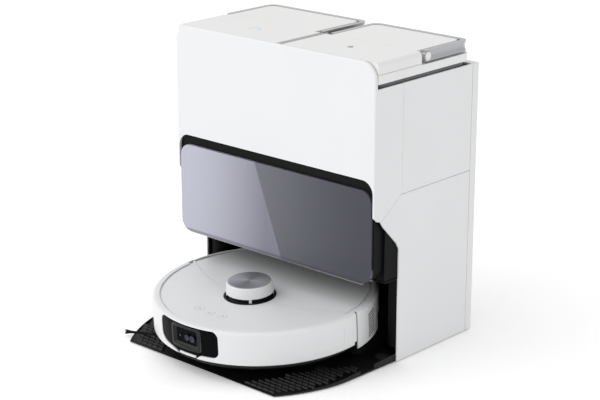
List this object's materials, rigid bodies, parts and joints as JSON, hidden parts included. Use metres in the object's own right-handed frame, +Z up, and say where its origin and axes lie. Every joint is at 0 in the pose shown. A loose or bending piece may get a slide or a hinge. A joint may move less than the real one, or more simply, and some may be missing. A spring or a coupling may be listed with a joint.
{
  "type": "robot vacuum with dock",
  "caption": "Round robot vacuum with a laser turret, parked in a tall white self-emptying, mop-washing dock with a black ramp tray and a grey mirrored dust cover.",
  "frame": {"origin": "on the floor under the middle of the dock and the parked robot", "axes": "+Z up, the front of the dock and robot faces -Y, +X to the right seen from the front"},
  "size_m": [0.409, 0.433, 0.474],
  "materials": {
    "white_shell": "satin white moulded shell",
    "white_lid": "satin white moulded lid",
    "black_housing": "fine-textured black",
    "black_tray": "fine-textured black, ribbed pads",
    "mirror_grey": "tinted glossy panel",
    "silver_trim": "satin",
    "handle_grey": "satin silver grey",
    "clear_tank": "translucent blue-grey",
    "smoke_tank": "translucent smoke grey",
    "bag_fabric": "non-woven filter fabric",
    "mop_fabric": "looped microfibre",
    "rubber": "matte",
    "wheel_rubber": "ribbed tyre",
    "roller_rubber": "soft grey blades",
    "black_gloss": "polished black window",
    "camera_black": "dark bezel with lenses",
    "light_strip": "diffusing strip",
    "scanner_black": "black",
    "brushed_disc": "circular brushed",
    "steel": "plated",
    "copper_contact": "nickel-gold plated",
    "motor_grey": "moulded",
    "board_green": "circuit board",
    "bin_smoke": "translucent smoke",
    "battery_wrap": "shrink wrapped pack",
    "pan_black": "fine-textured black",
    "bristle": "stiff bristle tufts"
  },
  "bodies": {
    "dock": {"base_tray": "black_tray", "rubber_feet": "rubber", "wash_board": "black_tray", "front_shell": "white_shell", "side_panel_left": "white_shell", "side_panel_right": "white_shell", "upper_side_left": "white_shell", "upper_side_right": "white_shell", "rear_panel": "white_shell", "power_inlet": "black_housing", "bay_liner": "black_housing", "charging_contacts": "copper_contact", "dust_compartment": "black_housing", "dust_bag": "bag_fabric", "suction_motor": "motor_grey", "water_pump": "motor_grey", "dryer_fan": "motor_grey", "dock_board": "board_green", "dust_duct": "rubber", "dock_screws": "steel", "tank_deck": "black_housing"},
    "wash_roller": {"wash_roller": "roller_rubber"},
    "dust_cover": {"dust_cover": "mirror_grey", "cover_lip": "silver_trim"},
    "clean_tank": {"clean_tank": "clear_tank"},
    "clean_lid": {"clean_lid": "white_lid"},
    "clean_handle": {"clean_handle": "handle_grey"},
    "waste_tank": {"waste_tank": "smoke_tank"},
    "waste_lid": {"waste_lid": "white_lid"},
    "waste_handle": {"waste_handle": "handle_grey"},
    "drive_unit": {"wheel_arms": "motor_grey"},
    "wheel_left": {"wheel_left": "wheel_rubber"},
    "wheel_right": {"wheel_right": "wheel_rubber"},
    "robot": {"chassis": "pan_black", "rear_shell": "white_shell", "front_cover": "white_lid", "turret_socket": "white_lid", "turret_cap": "white_lid", "turret_disc": "brushed_disc", "brush_frame": "pan_black", "dustbin": "bin_smoke", "battery": "battery_wrap", "robot_board": "board_green"},
    "bumper": {"bumper": "white_shell", "camera_window": "black_gloss", "camera_module": "camera_black", "light_bar": "light_strip"},
    "button_left": {"button_left": "white_lid"},
    "button_power": {"button_power": "white_lid"},
    "button_right": {"button_right": "white_lid"},
    "rear_lid": {"rear_lid": "white_lid"},
    "scanner": {"turret_rotor": "scanner_black"},
    "caster_fork": {"caster_fork": "pan_black"},
    "caster_wheel": {"caster_wheel": "wheel_rubber"},
    "brush_front": {"brush_front": "roller_rubber"},
    "brush_rear": {"brush_rear": "roller_rubber"},
    "side_arm": {"side_arm": "pan_black"},
    "side_brush": {"side_brush": "bristle"},
    "mop": {"mop_plate": "motor_grey", "mop_cloth": "mop_fabric"}
  },
  "joints": [
    {"name": "robot_drive_out", "type": "slide", "parent": "dock", "child": "drive_unit", "axis": [0, -0.9997, -0.0262], "range_m": [0, 0.45]},
    {"name": "robot_level", "type": "hinge", "parent": "drive_unit", "child": "robot", "pos_m": [0, -0.03392, 0.04802], "axis": [-1, 0, 0], "range_deg": [0, 3.15]},
    {"name": "wheel_left_spin", "type": "hinge", "parent": "drive_unit", "child": "wheel_left", "pos_m": [-0.118, -0.03392, 0.04802], "axis": [1, 0, 0], "continuous": true},
    {"name": "wheel_right_spin", "type": "hinge", "parent": "drive_unit", "child": "wheel_right", "pos_m": [0.118, -0.03392, 0.04802], "axis": [1, 0, 0], "continuous": true},
    {"name": "caster_swivel", "type": "hinge", "parent": "robot", "child": "caster_fork", "pos_m": [0, -0.16953, 0.01864], "axis": [0, -0.0541, 0.9985], "continuous": true},
    {"name": "caster_spin", "type": "hinge", "parent": "caster_fork", "child": "caster_wheel", "pos_m": [0, -0.16953, 0.01864], "axis": [1, 0, 0], "continuous": true},
    {"name": "brush_front_spin", "type": "hinge", "parent": "robot", "child": "brush_front", "pos_m": [0, -0.11898, 0.02839], "axis": [1, 0, 0], "continuous": true},
    {"name": "brush_rear_spin", "type": "hinge", "parent": "robot", "child": "brush_rear", "pos_m": [0, -0.08104, 0.03044], "axis": [1, 0, 0], "continuous": true},
    {"name": "side_arm_swing", "type": "hinge", "parent": "robot", "child": "side_arm", "pos_m": [-0.097, -0.09326, 0.01576], "axis": [0, 0.0541, -0.9985], "range_deg": [0, 20]},
    {"name": "side_brush_spin", "type": "hinge", "parent": "side_arm", "child": "side_brush", "pos_m": [-0.103, -0.1382, 0.01333], "axis": [0, -0.0541, 0.9985], "continuous": true},
    {"name": "mop_lower", "type": "slide", "parent": "robot", "child": "mop", "axis": [0, 0.0541, -0.9985], "range_m": [0, 0.006]},
    {"name": "bumper_press", "type": "slide", "parent": "robot", "child": "bumper", "axis": [0, 0.9985, 0.0541], "range_m": [0, 0.0018], "stiffness_N_per_m": 900, "springref_m": -0.0008},
    {"name": "rear_lid_lift", "type": "slide", "parent": "robot", "child": "rear_lid", "axis": [0, -0.0541, 0.9985], "range_m": [0, 0.018]},
    {"name": "scanner_spin", "type": "hinge", "parent": "robot", "child": "scanner", "pos_m": [0, -0.07524, 0.08984], "axis": [0, -0.0541, 0.9985], "continuous": true},
    {"name": "dust_cover_pull", "type": "slide", "parent": "dock", "child": "dust_cover", "axis": [0, -1, 0], "range_m": [0, 0.15]},
    {"name": "wash_roller_spin", "type": "hinge", "parent": "dock", "child": "wash_roller", "pos_m": [0, 0.02053, 0.008], "axis": [1, 0, 0], "continuous": true},
    {"name": "button_left_press", "type": "slide", "parent": "robot", "child": "button_left", "axis": [0, 0.0541, -0.9985], "range_m": [0, 0.0008], "stiffness_N_per_m": 400, "springref_m": -0.0003},
    {"name": "button_power_press", "type": "slide", "parent": "robot", "child": "button_power", "axis": [0, 0.0541, -0.9985], "range_m": [0, 0.0008], "stiffness_N_per_m": 400, "springref_m": -0.0003},
    {"name": "button_right_press", "type": "slide", "parent": "robot", "child": "button_right", "axis": [0, 0.0541, -0.9985], "range_m": [0, 0.0008], "stiffness_N_per_m": 400, "springref_m": -0.0003},
    {"name": "clean_tank_lift", "type": "slide", "parent": "dock", "child": "clean_tank", "axis": [0, 0, 1], "range_m": [0, 0.2]},
    {"name": "clean_lid_open", "type": "hinge", "parent": "clean_tank", "child": "clean_lid", "pos_m": [-0.1, 0.19453, 0.4414], "axis": [-1, 0, 0], "range_deg": [0, 80]},
    {"name": "clean_handle_raise", "type": "hinge", "parent": "clean_lid", "child": "clean_handle", "pos_m": [-0.1, 0.09253, 0.464], "axis": [1, 0, 0], "range_deg": [0, 95]},
    {"name": "waste_tank_lift", "type": "slide", "parent": "dock", "child": "waste_tank", "axis": [0, 0, 1], "range_m": [0, 0.2]},
    {"name": "waste_lid_open", "type": "hinge", "parent": "waste_tank", "child": "waste_lid", "pos_m": [0.111, 0.19453, 0.4414], "axis": [-1, 0, 0], "range_deg": [0, 80]},
    {"name": "waste_handle_raise", "type": "hinge", "parent": "waste_lid", "child": "waste_handle", "pos_m": [0.111, 0.09253, 0.464], "axis": [1, 0, 0], "range_deg": [0, 95]}
  ],
  "couplings": [
    {"joint": "robot_level", "follows": "robot_drive_out", "rad_per_m": 0.12023},
    {"joint": "brush_front_spin", "follows": "brush_rear_spin", "ratio": -1}
  ]
}
